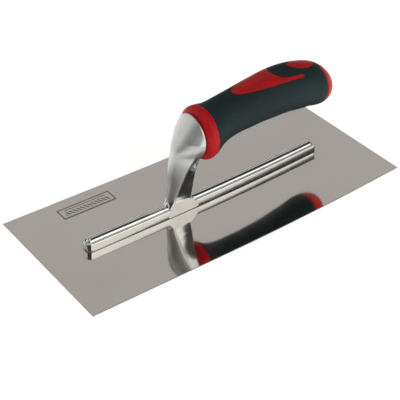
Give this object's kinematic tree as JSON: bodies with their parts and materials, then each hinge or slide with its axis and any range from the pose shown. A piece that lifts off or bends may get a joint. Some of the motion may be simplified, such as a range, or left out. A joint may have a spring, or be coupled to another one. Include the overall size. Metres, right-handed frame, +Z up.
{
  "type": "plasterer's finishing trowel",
  "caption": "Flat rectangular finishing trowel: slightly cambered polished steel blade riveted to a cast mounting bar and shank, with a bowed soft-grip handle bolted on above it.",
  "frame": {"origin": "under the middle of the blade, on the plane that the blade's lowest strip rests on", "axes": "+X along the blade from the toe towards the butt of the handle, +Z up from the working face to the handle, +Y to the left of someone looking along +X"},
  "size_m": [0.28, 0.121, 0.0906],
  "materials": {
    "blade_steel": "stainless steel polished almost to a mirror, faint length-wise polishing lines",
    "cast_aluminium": "die cast and tumble polished, bright with soft ripples",
    "rivet_metal": "ground flush with the blade",
    "red_plastic": "hard red moulded plastic, satin gloss",
    "dark_rubber": "dark green-grey thermoplastic rubber, fine matt grain",
    "zinc_steel": "zinc plated"
  },
  "bodies": {
    "root": {"blade": "blade_steel", "mounting": "cast_aluminium", "rivet_1": "rivet_metal", "rivet_2": "rivet_metal", "rivet_3": "rivet_metal", "rivet_4": "rivet_metal", "rivet_5": "rivet_metal", "rivet_6": "rivet_metal", "rivet_7": "rivet_metal", "rivet_8": "rivet_metal", "rivet_9": "rivet_metal", "handle_core": "red_plastic", "grip": "dark_rubber", "butt_cap": "red_plastic", "handle_bolt": "zinc_steel", "bolt_washer": "zinc_steel"}
  },
  "joints": []
}
